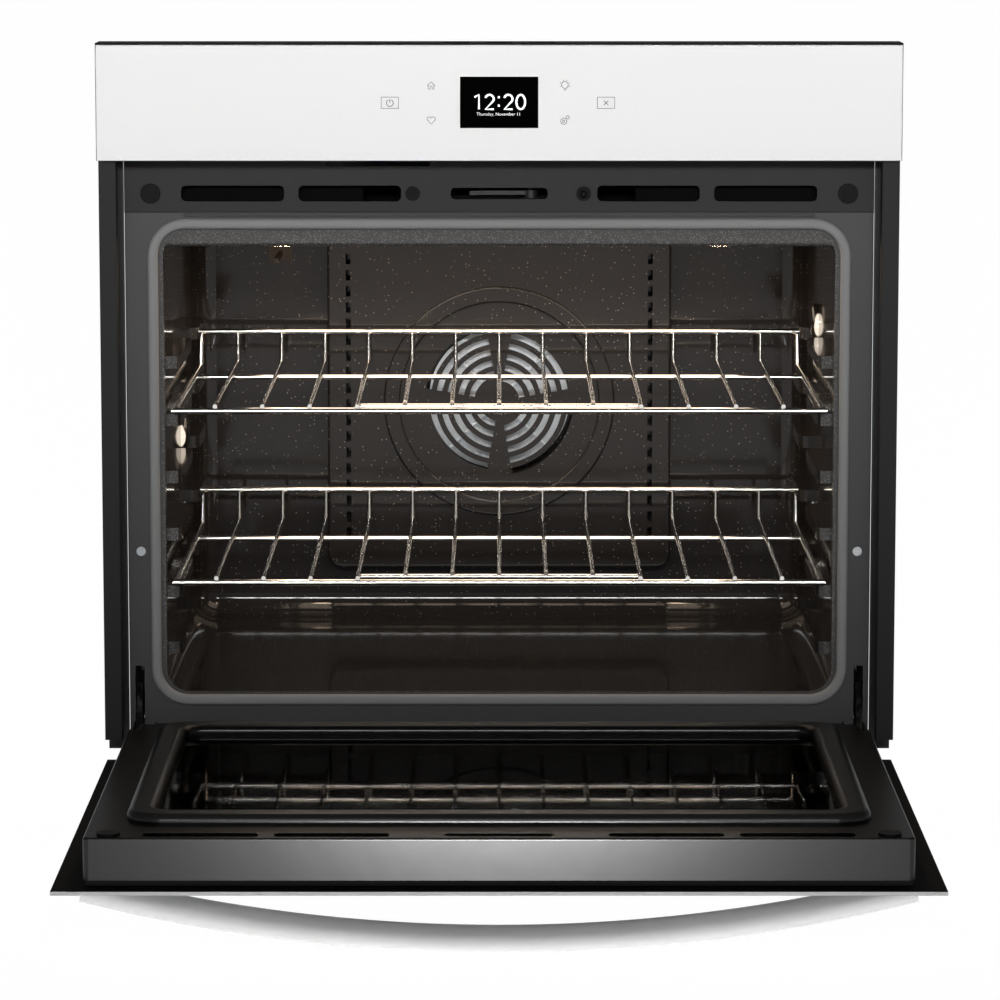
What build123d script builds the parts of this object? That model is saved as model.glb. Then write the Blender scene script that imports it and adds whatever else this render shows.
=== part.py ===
from build123d import *
import os
from math import cos, radians, sin

# Frame: X to the viewer's right, Y into the wall, Z up. The origin is the middle of the base's front edge.

# Overall sizes
WIDTH = 756.0
FASCIA_BOTTOM = 600.0
FASCIA_TOP = 710.0
FASCIA_FRONT = -54.0
BASE_OVERHANG = 20.0

# Chassis
CHASSIS_HALF = 354.0
CHASSIS_TOP = 676.0
CHASSIS_DEPTH = 560.0
SHEET = 1.2
FRAME_HALF = 356.0
FRAME_THICK = 1.5

# Cavity
CAV_HALF = 320.0
CAV_FLOOR = 86.0
CAV_CEILING = 528.0
CAV_BACK = 455.0
CAV_WALL = 1.0
HEADER_BOTTOM = 515.0

# Racks and ledges
RACK_GAP = 9.0
RACK_HALF = CAV_HALF - RACK_GAP
RACK_FRONT = 11.0
RACK_REAR = 405.0
RACK_LOW_Z = 190.0
LEDGE_PITCH = 55.5
LEDGE_COUNT = 6
LEDGE_REACH = 14.0
FRAME_WIRE = 3.2
THIN_WIRE = 2.1
WIRE_COUNT = 13
WIRE_MARGIN = 38.6
WIRE_PITCH = 2 * (RACK_HALF - WIRE_MARGIN) / (WIRE_COUNT - 1)
REAR_RISE = 36.0
CROSS_WIRE_Y = 300.0

# Door, hung on a hinge axis along X
HINGE_Y = -24.0
HINGE_Z = 46.0
LINER_IN = -16.0
LINER_OUT = 20.7
GLASS_IN = 25.4
GLASS_THICK = 4.0
GLASS_LOW = -15.0
GLASS_HIGH = 551.8
LINER_HALF = 352.0
LINER_LOW = 15.0
LINER_HIGH = 532.2
HINGE_X = 346.0
PIN_R = 4.0
RUN = 0.05

# Vent row shared by the frame, the trim and the door
VENT_Z = 566.0
VENT_H = 15.2
VENTS = [(93.0, 190.5), (204.0, 302.0)]
STOP_X = 331.0
SWITCH_X = 80.0
LOCK_HALF = 46.0
SCREW_X = 343.5
SCREW_Z = 222.6

# Fan
FAN_Z = 317.0
COVER_HALF = 180.0
COVER_FRONT = 425.0

# The open door's own plane: x across, y from the hinge to its top edge, z towards the outer glass
DOOR = Plane(origin=(0, HINGE_Y, HINGE_Z), x_dir=(1, 0, 0), z_dir=(0, 0, -1))


def front_plane(y):
    """A plane facing the viewer at depth y, with local x across and local y up."""
    return Plane(origin=(0, y, 0), x_dir=(1, 0, 0), z_dir=(0, -1, 0))


def block(x0, x1, y0, y1, z0, z1, mode=Mode.ADD):
    """A box between two corners."""
    with Locations(((x0 + x1) / 2, (y0 + y1) / 2, (z0 + z1) / 2)):
        return Box(x1 - x0, y1 - y0, z1 - z0, mode=mode)


def plate(x0, x1, z0, z1, front, back, radius=0.0, mode=Mode.ADD):
    """A plate facing the viewer, with rounded corners if a radius is given."""
    with BuildSketch(front_plane(back)) as outline:
        with Locations(((x0 + x1) / 2, (z0 + z1) / 2)):
            if radius:
                RectangleRounded(x1 - x0, z1 - z0, radius)
            else:
                Rectangle(x1 - x0, z1 - z0)
    extrude(outline.sketch, amount=back - front, mode=mode)


def door_plate(half, v0, v1, w0, w1, radius=0.0, mode=Mode.ADD):
    """A plate lying in the door, centred across it."""
    with BuildSketch(DOOR.offset(w0)) as outline:
        with Locations((0, (v0 + v1) / 2)):
            if radius:
                RectangleRounded(2 * half, v1 - v0, radius)
            else:
                Rectangle(2 * half, v1 - v0)
    extrude(outline.sketch, amount=w1 - w0, mode=mode)


def door_block(x0, x1, v0, v1, w0, w1, mode=Mode.ADD):
    """A box given in the open door's own sizes."""
    block(x0, x1, HINGE_Y - v1, HINGE_Y - v0, HINGE_Z - w1, HINGE_Z - w0, mode)


def rod(a, b, radius, mode=Mode.ADD):
    """A round bar from point a to point b."""
    start = Vector(*a)
    run = Vector(*b) - start
    with BuildSketch(Plane(origin=start, z_dir=run)) as section:
        Circle(radius)
    extrude(section.sketch, amount=run.length, mode=mode)


def lamp_rod(side, z, near, far, radius, mode=Mode.ADD):
    """A round bar on a lamp's axis, between two distances outside the cavity wall."""
    rod((side * (CAV_HALF + near), LAMP_Y, z), (side * (CAV_HALF + far), LAMP_Y, z), radius, mode)


def bent_wire(points, radius):
    """A wire of round section along straight runs with mitred bends."""
    with BuildLine() as path:
        Polyline(*points)
    with BuildSketch(Plane(origin=path.line @ 0, z_dir=path.line % 0)) as section:
        Circle(radius)
    sweep(section.sketch, path=path.line, transition=Transition.RIGHT)


def vent_slots(back, front, grow=0.0):
    """The row of four air slots and the middle lock slot, cut through a plate."""
    for side in (-1, 1):
        for near, far in VENTS:
            x0, x1 = sorted((side * near, side * far))
            plate(x0 - grow, x1 + grow, VENT_Z - VENT_H / 2 - grow, VENT_Z + VENT_H / 2 + grow,
                  front, back, 5.0, Mode.SUBTRACT)
    plate(-LOCK_HALF - grow, LOCK_HALF + grow, VENT_Z - 5.5 - grow, VENT_Z + 5.5 + grow,
          front, back, 4.0, Mode.SUBTRACT)


# Control fascia
DISPLAY_HALF = 36.6
DISPLAY_LOW = 631.0
DISPLAY_HIGH = 679.0
GLASS_BACK = FASCIA_FRONT + 5.0

with BuildPart() as control_glass:
    plate(-WIDTH / 2 + 0.8, WIDTH / 2 - 0.8, FASCIA_BOTTOM + 0.3, FASCIA_TOP - 1.6, FASCIA_FRONT, GLASS_BACK)
    chamfer(control_glass.faces().sort_by(Axis.Y)[0].edges(), 0.7)
    plate(-DISPLAY_HALF, DISPLAY_HALF, DISPLAY_LOW, DISPLAY_HIGH, FASCIA_FRONT, GLASS_BACK, mode=Mode.SUBTRACT)
control_glass.part.label = "control_glass"

with BuildPart() as display_window:
    plate(-DISPLAY_HALF + 0.1, DISPLAY_HALF - 0.1, DISPLAY_LOW + 0.1, DISPLAY_HIGH - 0.1,
          FASCIA_FRONT + 0.1, GLASS_BACK)
display_window.part.label = "display_window"

# The housing is a box that carries the glass, with a cable opening in its back
with BuildPart() as control_housing:
    block(-WIDTH / 2, WIDTH / 2, GLASS_BACK, -2, FASCIA_BOTTOM, FASCIA_TOP)
    block(-WIDTH / 2 + 1.5, WIDTH / 2 - 1.5, GLASS_BACK + 1.5, -3.5, FASCIA_BOTTOM + 1.5, FASCIA_TOP - 1.5,
          Mode.SUBTRACT)
    block(-FRAME_HALF + 20, FRAME_HALF - 20, -4, -1, FASCIA_BOTTOM + 15, CHASSIS_TOP - 15, Mode.SUBTRACT)
    for x in (-40, 0, 40):
        block(x - 12, x + 12, GLASS_BACK + 4, GLASS_BACK + 40, FASCIA_TOP - 2, FASCIA_TOP + 1, Mode.SUBTRACT)
    for x in (-250, 250):
        block(x - 15, x + 15, -20, -2, FASCIA_BOTTOM + 1.5, FASCIA_BOTTOM + 20)
control_housing.part.label = "control_housing"

with BuildPart() as control_board:
    block(-65, 65, -42, -40.4, 620, 692)
    for x in (-58, 58):
        for z in (627, 685):
            rod((x, GLASS_BACK + 1.5, z), (x, -42, z), 3)
    block(-38, 38, GLASS_BACK + 1.5, -42, 632, 678)
    block(-50, -20, -40.4, -28, 630, 655)
    block(10, 45, -40.4, -30, 640, 675)
control_board.part.label = "control_board"

# Slotted vent trim under the fascia
TRIM_BACK = -FRAME_THICK
TRIM_FRONT = TRIM_BACK - 1.5
NOTCH = (-164.0, -66.0)
NOTCH_LOW = 592.0

with BuildPart() as vent_trim:
    plate(-FRAME_HALF, FRAME_HALF, 548, FASCIA_BOTTOM - 0.5, TRIM_FRONT, TRIM_BACK)
    chamfer(vent_trim.faces().sort_by(Axis.Y)[0].edges(), 0.6)
    vent_slots(TRIM_BACK, TRIM_FRONT)
    plate(*NOTCH, NOTCH_LOW, FASCIA_BOTTOM, TRIM_FRONT, TRIM_BACK, mode=Mode.SUBTRACT)
    rod((SWITCH_X, 0, VENT_Z), (SWITCH_X, -4, VENT_Z), 4.5, Mode.SUBTRACT)
vent_trim.part.label = "vent_trim"

# Front frame: a pressed pan with the oven mouth, hinge slots and a stiffening bead
with BuildPart() as front_frame:
    plate(-FRAME_HALF, FRAME_HALF, 1.5, CHASSIS_TOP - SHEET, -FRAME_THICK, 0)
    for side in (-1, 1):
        x0, x1 = sorted((side * (FRAME_HALF - 1.5), side * FRAME_HALF))
        block(x0, x1, 0, 12, 1.5, CHASSIS_TOP - SHEET)
    outer = [e for e in front_frame.edges().filter_by(Axis.Z) if abs(e.center().Y + FRAME_THICK) < 0.01]
    fillet(outer, 1.4)
    rod((-300, -FRAME_THICK, 545.2), (300, -FRAME_THICK, 545.2), 1.4)
    plate(-CAV_HALF - 3, CAV_HALF + 3, CAV_FLOOR - 1.5, HEADER_BOTTOM + 16, -FRAME_THICK, 0, 27, Mode.SUBTRACT)
    vent_slots(0, -FRAME_THICK, 1.0)
    plate(*NOTCH, NOTCH_LOW, FASCIA_BOTTOM, -FRAME_THICK, 0, mode=Mode.SUBTRACT)
    rod((SWITCH_X, 1, VENT_Z), (SWITCH_X, -4, VENT_Z), 4.5, Mode.SUBTRACT)
    for side in (-1, 1):
        plate(side * HINGE_X - 4.5, side * HINGE_X + 4.5, HINGE_Z + 4, HINGE_Z + 65, -FRAME_THICK, 0, 2,
              Mode.SUBTRACT)
        rod((side * SCREW_X, 1, SCREW_Z), (side * SCREW_X, -3, SCREW_Z), 2, Mode.SUBTRACT)
front_frame.part.label = "front_frame"

with BuildPart() as door_gasket:
    plate(-CAV_HALF - 14.5, CAV_HALF + 14.5, CAV_FLOOR - 13, CAV_CEILING + 14, -7.5, -FRAME_THICK, 36)
    plate(-CAV_HALF - 4.6, CAV_HALF + 4.6, CAV_FLOOR - 2.8, CAV_CEILING + 4.2, -7.5, -FRAME_THICK, 26,
          Mode.SUBTRACT)
    fillet(door_gasket.faces().sort_by(Axis.Y)[0].edges(), 4.4)
door_gasket.part.label = "door_gasket"

# Enamelled cavity: a drawn box with rounded corners, a mouth flange, a header lip and pressed rack ledges
LAMP_Y = 237.0
LAMPS = [(-1, 306.0), (1, 418.0)]
LAMP_HOLE = 17.0

with BuildPart() as cavity_space:
    block(-CAV_HALF, CAV_HALF, -30, CAV_BACK, CAV_FLOOR, CAV_CEILING)
    fillet(cavity_space.edges().filter_by(lambda e: e.center().Y > 0), 22)

with BuildPart() as header_lip:
    add(cavity_space.part)
    block(-CAV_HALF - 1, CAV_HALF + 1, 3, 13, HEADER_BOTTOM, CAV_CEILING + 2, Mode.INTERSECT)
    fillet(header_lip.edges().filter_by(Axis.X).sort_by(Axis.Z)[0:2], 4)

with BuildPart() as ledge_long:
    block(CAV_HALF - LEDGE_REACH, CAV_HALF + 0.5, 18, 190, -12, 0)
    fillet(ledge_long.edges().filter_by(Axis.Z).sort_by(Axis.X)[0:2], 9)

with BuildPart() as ledge_short:
    block(CAV_HALF - LEDGE_REACH, CAV_HALF + 0.5, 285, 395, -12, 0)
    fillet(ledge_short.edges().filter_by(Axis.Z).sort_by(Axis.X)[0:2], 9)

with BuildPart() as oven_cavity:
    block(-CAV_HALF - CAV_WALL, CAV_HALF + CAV_WALL, 0, CAV_BACK + CAV_WALL,
          CAV_FLOOR - CAV_WALL, CAV_CEILING + CAV_WALL)
    fillet(oven_cavity.edges().filter_by(lambda e: e.center().Y > 0), 23)
    plate(-CAV_HALF - 18, CAV_HALF + 18, CAV_FLOOR - 22, CAV_CEILING + 18, 0, 1, 30)
    add(cavity_space.part, mode=Mode.SUBTRACT)
    add(header_lip.part)
    for level in range(LEDGE_COUNT):
        top = RACK_LOW_Z + (level - 1) * LEDGE_PITCH - FRAME_WIRE - 0.3
        for piece in (ledge_long, ledge_short):
            raised = piece.part.moved(Location((0, 0, top)))
            add(raised)
            add(raised.mirror(Plane.YZ))
    for side, z in LAMPS:
        lamp_rod(side, z, -10, 10, LAMP_HOLE, Mode.SUBTRACT)
    rod((0, CAV_BACK - 5, FAN_Z), (0, CAV_BACK + 5, FAN_Z), 8, Mode.SUBTRACT)
    for x in (-40, 40):
        rod((x, CAV_BACK - 5, 514), (x, CAV_BACK + 5, 514), 3.9, Mode.SUBTRACT)
    for x in (-12, 12):
        rod((x, CAV_BACK - 5, FAN_Z - 94), (x, CAV_BACK + 5, FAN_Z - 94), 3.9, Mode.SUBTRACT)
oven_cavity.part.label = "oven_cavity"

# Fan cover: a pressed tray with a ring bead, a pinwheel of arc slots and two columns of side slots
COVER_LOW = 140.0
COVER_HIGH = 504.0
COVER_FACE = front_plane(COVER_FRONT)

with BuildPart() as fan_cover:
    plate(-COVER_HALF, COVER_HALF, COVER_LOW, COVER_HIGH, COVER_FRONT, CAV_BACK - 0.1, 14)
    fillet(fan_cover.faces().sort_by(Axis.Y)[0].edges(), 3)
    plate(-COVER_HALF + 1.2, COVER_HALF - 1.2, COVER_LOW + 1.2, COVER_HIGH - 1.2,
          COVER_FRONT + 1.2, CAV_BACK, 12.8, Mode.SUBTRACT)
    with BuildSketch(COVER_FACE) as ring:
        with Locations((0, FAN_Z)):
            Circle(121)
            Circle(104, mode=Mode.SUBTRACT)
    extrude(ring.sketch, amount=3)
    fillet(fan_cover.faces().sort_by(Axis.Y)[0].edges(), 2.4)
    with BuildSketch(COVER_FACE.shift_origin((0, COVER_FRONT, FAN_Z))) as slots:
        for quarter in range(4):
            for step in range(5):
                radius = 24 + 11.5 * step + 5 * (quarter % 2)
                with BuildLine():
                    outer = CenterArc((0, 0), radius + 3, 90 * quarter + 10, 70)
                    inner = CenterArc((0, 0), radius - 3, 90 * quarter + 10, 70)
                    Line(outer @ 0, inner @ 0)
                    Line(outer @ 1, inner @ 1)
                make_face()
    extrude(slots.sketch, amount=2, both=True, mode=Mode.SUBTRACT)
    with BuildSketch(COVER_FACE) as side_slots:
        for side in (-1, 1):
            with Locations((side * (COVER_HALF - 22), (COVER_LOW + COVER_HIGH) / 2)):
                with GridLocations(1, 17, 1, 18):
                    Rectangle(5, 11)
    extrude(side_slots.sketch, amount=2, both=True, mode=Mode.SUBTRACT)
fan_cover.part.label = "fan_cover"

# Convection fan on its shaft, behind the cover
FAN_R = 74.0
SHAFT_R = 4.0

with BuildPart() as convection_fan:
    rod((0, 434, FAN_Z), (0, 450, FAN_Z), 11)
    rod((0, 448.5, FAN_Z), (0, 450, FAN_Z), FAN_R)
    rod((0, 432, FAN_Z), (0, 536, FAN_Z), SHAFT_R)
    with BuildSketch(front_plane(449)) as blades:
        with Locations((0, FAN_Z)):
            with PolarLocations(39.5, 8):
                Rectangle(66, 1.6)
    extrude(blades.sketch, amount=14)
convection_fan.part.label = "convection_fan"

with BuildPart() as convection_motor:
    rod((0, CAV_BACK + CAV_WALL, FAN_Z), (0, 506, FAN_Z), 15)
    rod((0, 505, FAN_Z), (0, 545, FAN_Z), 36)
    block(-50, 50, 505, 507, FAN_Z - 12, FAN_Z + 12)
    rod((0, 450, FAN_Z), (0, 540, FAN_Z), SHAFT_R + RUN, Mode.SUBTRACT)
convection_motor.part.label = "convection_motor"

with BuildPart() as convection_element:
    corners = [(95 * cos(radians(a)), 441, FAN_Z + 95 * sin(radians(a))) for a in range(-82, 263, 43)]
    bent_wire(corners, 3.4)
    for x in (-12, 12):
        rod((x, 441, FAN_Z - 94), (x, 470, FAN_Z - 94), 3.4)
convection_element.part.label = "convection_element"

BROIL_Z = 514.0

with BuildPart() as broil_element:
    right = [(0, 60), (240, 60), (240, 380), (140, 380), (140, 110), (40, 110), (40, 475)]
    left = [(-x, y) for x, y in right[1:]]
    path = [(x, y, BROIL_Z) for x, y in left[::-1] + right[1:]]
    bent_wire(path, 3.4)
    for x in (-120, 120):
        rod((x, 60, BROIL_Z), (x, 60, CAV_CEILING - 0.1), 2)
broil_element.part.label = "broil_element"

# Bake element under the floor, lying in its reflector pan
BAKE_Z = CAV_FLOOR - CAV_WALL - 3.4

with BuildPart() as bake_element:
    right = [(220, 90), (220, 360), (120, 360), (120, 130), (40, 130), (40, 430)]
    left = [(-x, y) for x, y in right]
    path = [(x, y, BAKE_Z) for x, y in left[::-1] + right]
    bent_wire(path, 3.2)
bake_element.part.label = "bake_element"

with BuildPart() as bake_pan:
    block(-260, 260, 60, 410, 62, CAV_FLOOR - CAV_WALL - 0.1)
    block(-259, 259, 61, 409, 63, CAV_FLOOR, Mode.SUBTRACT)
    for x in (-40, 40):
        block(x - 8, x + 8, 400, 415, BAKE_Z - 6, CAV_FLOOR, Mode.SUBTRACT)
bake_pan.part.label = "bake_pan"

# Side lamps: a glass lens inside the cavity and a holder with its bulb outside
with BuildPart() as lamp_lenses:
    for side, z in LAMPS:
        lamp_rod(side, z, -0.1, -7, 20)
    inner = lamp_lenses.edges().filter_by(GeomType.CIRCLE).filter_by(lambda e: abs(e.center().X) < CAV_HALF - 5)
    fillet(inner, 5)
lamp_lenses.part.label = "lamp_lenses"

with BuildPart() as lamp_holders:
    for side, z in LAMPS:
        lamp_rod(side, z, 0.3, 27, 16.8)
        lamp_rod(side, z, -1, 24, 14.5, Mode.SUBTRACT)
        lamp_rod(side, z, 1.2, 3, 22)
        lamp_rod(side, z, -1, 4, 14.5, Mode.SUBTRACT)
        lamp_rod(side, z, 6, 25, 6)
lamp_holders.part.label = "lamp_holders"

with BuildPart() as temp_probe:
    rod((-230, CAV_BACK - 95, 470), (-230, CAV_BACK - 1, 470), 2.6)
    block(-242, -218, CAV_BACK - 1.6, CAV_BACK - 0.1, 462, 478)
temp_probe.part.label = "temp_probe"


def rack_half(z):
    """The left half of a rack's frame wire, its cross wires and its raised rear rail."""
    rear = z + REAR_RISE
    bent_wire([(0, RACK_REAR, rear), (-RACK_HALF, RACK_REAR, rear), (-RACK_HALF, RACK_REAR - 6, z),
               (-RACK_HALF, RACK_FRONT, z), (0, RACK_FRONT, z)], FRAME_WIRE)
    rod((-RACK_HALF, CROSS_WIRE_Y, z), (0, CROSS_WIRE_Y, z), 2.7)


def rack(z):
    """A wire rack: frame, cross wires, a hand grip at the front and the long wires."""
    with BuildPart() as half:
        rack_half(z)
    add(half.part)
    add(half.part.mirror(Plane.YZ))
    grip = 3 * WIRE_PITCH
    rod((-grip, RACK_FRONT + 37, z), (grip, RACK_FRONT + 37, z), 2.7)
    on_top = z + FRAME_WIRE + THIN_WIRE - 0.8
    for n in range(WIRE_COUNT):
        x = (n - (WIRE_COUNT - 1) / 2) * WIRE_PITCH
        front = RACK_FRONT - 2 if abs(x) > grip - 1 else RACK_FRONT + 34.5
        bent_wire([(x, RACK_REAR - 0.5, z + REAR_RISE + 1), (x, RACK_REAR - 4, on_top), (x, front, on_top)],
                  THIN_WIRE)


with BuildPart() as rack_lower:
    rack(RACK_LOW_Z)
rack_lower.part.label = "rack_lower"

with BuildPart() as rack_upper:
    rack(RACK_LOW_Z + 3 * LEDGE_PITCH)
rack_upper.part.label = "rack_upper"

# Insulation blankets around the cavity
with BuildPart() as insulation_wrap:
    block(-350, 350, 92, 452, 62, 573.5)
    block(-350, 350, 16, 93, 130, 573.5)
    block(-CAV_HALF - 1.5, CAV_HALF + 1.5, 0, 460, 60, CAV_CEILING + 1.5, Mode.SUBTRACT)
    block(-130, 130, 0, 76, 540, 580, Mode.SUBTRACT)
    for side, z in LAMPS:
        rod((side * (CAV_HALF - 5), LAMP_Y, z), (side * 352, LAMP_Y, z), 24, Mode.SUBTRACT)
insulation_wrap.part.label = "insulation_wrap"

with BuildPart() as insulation_floor:
    block(-330, 330, 30, 452, 6.3, 61.5)
insulation_floor.part.label = "insulation_floor"

with BuildPart() as insulation_back:
    block(-300, 300, CAV_BACK + 1.5, 500, 100, 526)
    rod((0, 450, FAN_Z), (0, 510, FAN_Z), 16, Mode.SUBTRACT)
    for x, z in ((-40, BROIL_Z), (40, BROIL_Z), (-12, FAN_Z - 94), (12, FAN_Z - 94)):
        rod((x, 450, z), (x, 510, z), 5, Mode.SUBTRACT)
insulation_back.part.label = "insulation_back"

# Outer chassis of folded sheet
INSIDE = CHASSIS_HALF - SHEET

with BuildPart() as base_pan:
    block(-INSIDE + 0.1, INSIDE - 0.1, 0, CHASSIS_DEPTH - SHEET - 0.1, 0, SHEET)
    for side in (-1, 1):
        x0, x1 = sorted((side * (INSIDE - 0.1), side * (INSIDE - 1.3)))
        block(x0, x1, 0, CHASSIS_DEPTH - SHEET - 0.1, 0, 22)
    for x in (-220, 0, 220):
        block(x - 20, x + 20, 40, 520, 0, 6)
base_pan.part.label = "base_pan"

with BuildPart() as side_panel_right:
    block(INSIDE, CHASSIS_HALF, 0, CHASSIS_DEPTH, 0, CHASSIS_TOP - SHEET)
    for z in (160, 340, 520):
        rod((INSIDE, 60, z), (INSIDE, 520, z), 1.1)
    for y in (470, 500, 530):
        block(INSIDE - 1, CHASSIS_HALF + 1, y - 4, y + 4, 590, 660, Mode.SUBTRACT)
side_panel_right.part.label = "side_panel_right"

with BuildPart() as side_panel_left:
    add(side_panel_right.part.mirror(Plane.YZ))
side_panel_left.part.label = "side_panel_left"

with BuildPart() as back_panel:
    plate(-INSIDE + 0.1, INSIDE - 0.1, 0.1, CHASSIS_TOP - SHEET - 0.1, CHASSIS_DEPTH - SHEET, CHASSIS_DEPTH)
    with BuildSketch(front_plane(CHASSIS_DEPTH)) as louvres:
        with Locations((-150, 630), (-150, 420), (150, 420)):
            with GridLocations(90, 16, 2, 5):
                Rectangle(70, 6)
    extrude(louvres.sketch, amount=SHEET, mode=Mode.SUBTRACT)
    block(130, 270, CHASSIS_DEPTH - 5, CHASSIS_DEPTH + 5, 590, 660, Mode.SUBTRACT)
back_panel.part.label = "back_panel"

with BuildPart() as top_panel:
    block(-CHASSIS_HALF, CHASSIS_HALF, -FRAME_THICK, CHASSIS_DEPTH, CHASSIS_TOP - SHEET, CHASSIS_TOP)
    for x in (-150, 150):
        block(x - 12, x + 12, 40, 520, CHASSIS_TOP - 4, CHASSIS_TOP - SHEET)
top_panel.part.label = "top_panel"

with BuildPart() as air_deck:
    block(-INSIDE + 0.2, INSIDE - 0.2, 14, CHASSIS_DEPTH - SHEET - 0.2, 574, 575.2)
air_deck.part.label = "air_deck"

# Junction cover with the supply conduit entry
CONDUIT_R = 11.1
CONDUIT_X = 200.0
CONDUIT_Z = 625.0

with BuildPart() as junction_cover:
    plate(120, 280, 580, 670, CHASSIS_DEPTH, CHASSIS_DEPTH + 1.2, 4)
    rod((CONDUIT_X, CHASSIS_DEPTH + 1.2, CONDUIT_Z), (CONDUIT_X, CHASSIS_DEPTH + 4, CONDUIT_Z), 15)
    rod((CONDUIT_X, CHASSIS_DEPTH - 2, CONDUIT_Z), (CONDUIT_X, CHASSIS_DEPTH + 8, CONDUIT_Z), CONDUIT_R,
        Mode.SUBTRACT)
    for x, z in ((128, 588), (272, 588), (128, 662), (272, 662)):
        rod((x, CHASSIS_DEPTH + 1, z), (x, CHASSIS_DEPTH + 3, z), 4)
junction_cover.part.label = "junction_cover"

# Cooling blower on the air deck: a long drum wheel between two end plates
BLOW_Y = 495.0
BLOW_Z = 615.0
DRUM_R = 30.0

with BuildPart() as blower_housing:
    block(-152, 112, 455, 540, 575.3, 576.5)
    block(-152, 112, 538.8, 540, 576, 655)
    block(-152, 112, 490, 540, 654, 655.2)
    for x in (-152, 110.8):
        block(x, x + 1.2, 455, 540, 576, 655)
    rod((-155, BLOW_Y, BLOW_Z), (115, BLOW_Y, BLOW_Z), SHAFT_R + RUN, Mode.SUBTRACT)
blower_housing.part.label = "blower_housing"

with BuildPart() as blower_wheel:
    for x in (-146, 102):
        rod((x, BLOW_Y, BLOW_Z), (x + 2, BLOW_Y, BLOW_Z), DRUM_R)
    with BuildSketch(Plane(origin=(-145, BLOW_Y, BLOW_Z), x_dir=(0, 1, 0), z_dir=(1, 0, 0))) as vanes:
        with PolarLocations(DRUM_R - 4, 16):
            Rectangle(6, 1)
    extrude(vanes.sketch, amount=248)
    rod((-151, BLOW_Y, BLOW_Z), (138, BLOW_Y, BLOW_Z), SHAFT_R)
blower_wheel.part.label = "blower_wheel"

with BuildPart() as blower_motor:
    rod((112.1, BLOW_Y, BLOW_Z), (150, BLOW_Y, BLOW_Z), 28)
    block(114, 148, BLOW_Y - 20, BLOW_Y + 20, 575.3, BLOW_Z - 10)
    rod((110, BLOW_Y, BLOW_Z), (141, BLOW_Y, BLOW_Z), SHAFT_R + RUN, Mode.SUBTRACT)
blower_motor.part.label = "blower_motor"

# Door lock: a hook that swings out through the middle slot
LOCK_X = 30.0
LOCK_Y = 20.0

with BuildPart() as lock_plate:
    block(-55, 55, 0.1, 58, 559, 560.4)
    block(-20, 20, 22, 55, 542, 559.5)
    rod((LOCK_X, LOCK_Y, 560), (LOCK_X, LOCK_Y, 572), 3)
lock_plate.part.label = "lock_plate"

with BuildPart() as lock_hook:
    block(-28, LOCK_X, 15, 25, 563.5, 567.5)
    rod((LOCK_X, LOCK_Y, 560.5), (LOCK_X, LOCK_Y, 568), 7)
    block(-28, -20, 11, 16, 563.5, 567.5)
    rod((LOCK_X, LOCK_Y, 555), (LOCK_X, LOCK_Y, 575), 3 + RUN, Mode.SUBTRACT)
lock_hook.part.label = "lock_hook"

# Door switch with its plunger in a sleeve through the trim
with BuildPart() as switch_body:
    block(SWITCH_X - 12, SWITCH_X + 12, 0.1, 34, VENT_Z - 12, VENT_Z + 7.5)
    rod((SWITCH_X, 1, VENT_Z), (SWITCH_X, -4.6, VENT_Z), 4.3)
    rod((SWITCH_X, TRIM_FRONT - 0.05, VENT_Z), (SWITCH_X, -4.6, VENT_Z), 7)
    rod((SWITCH_X, 30, VENT_Z), (SWITCH_X, -6, VENT_Z), 3 + RUN, Mode.SUBTRACT)
switch_body.part.label = "switch_body"

with BuildPart() as switch_plunger:
    rod((SWITCH_X, 18, VENT_Z), (SWITCH_X, -14, VENT_Z), 3)
    fillet(switch_plunger.edges().sort_by(Axis.Y)[0], 1.5)
switch_plunger.part.label = "switch_plunger"

# Stops and a plug on the trim, and the two frame screws
with BuildPart() as frame_stops:
    for x, radius in ((-STOP_X, 9.8), (STOP_X, 9.8), (-82, 7)):
        rod((x, TRIM_FRONT, VENT_Z), (x, TRIM_FRONT - 0.8, VENT_Z), radius)
        rod((x, TRIM_FRONT, VENT_Z), (x, TRIM_FRONT - 1.5, VENT_Z), radius * 0.76)
frame_stops.part.label = "frame_stops"

with BuildPart() as frame_screws:
    for side in (-1, 1):
        x = side * SCREW_X
        rod((x, -FRAME_THICK, SCREW_Z), (x, -FRAME_THICK - 2.2, SCREW_Z), 4.4)
        block(x - 2.4, x + 2.4, -4.5, -3, SCREW_Z - 0.5, SCREW_Z + 0.5, Mode.SUBTRACT)
        block(x - 0.5, x + 0.5, -4.5, -3, SCREW_Z - 2.4, SCREW_Z + 2.4, Mode.SUBTRACT)
        rod((x, -FRAME_THICK, SCREW_Z), (x, 8, SCREW_Z), 1.9)
frame_screws.part.label = "frame_screws"

# Hinge receivers behind the frame slots, and the arms hooked into them
with BuildPart() as hinge_receivers:
    for side in (-1, 1):
        x = side * HINGE_X
        block(x - 6.4, x + 6.4, 0.1, 78, HINGE_Z - 2, HINGE_Z + 71)
        block(x - 4.9, x + 4.9, -1, 76.5, HINGE_Z - 0.5, HINGE_Z + 69.5, Mode.SUBTRACT)
        rod((x - 6, 40, HINGE_Z + 16.6), (x + 6, 40, HINGE_Z + 16.6), 4)
hinge_receivers.part.label = "hinge_receivers"

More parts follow.
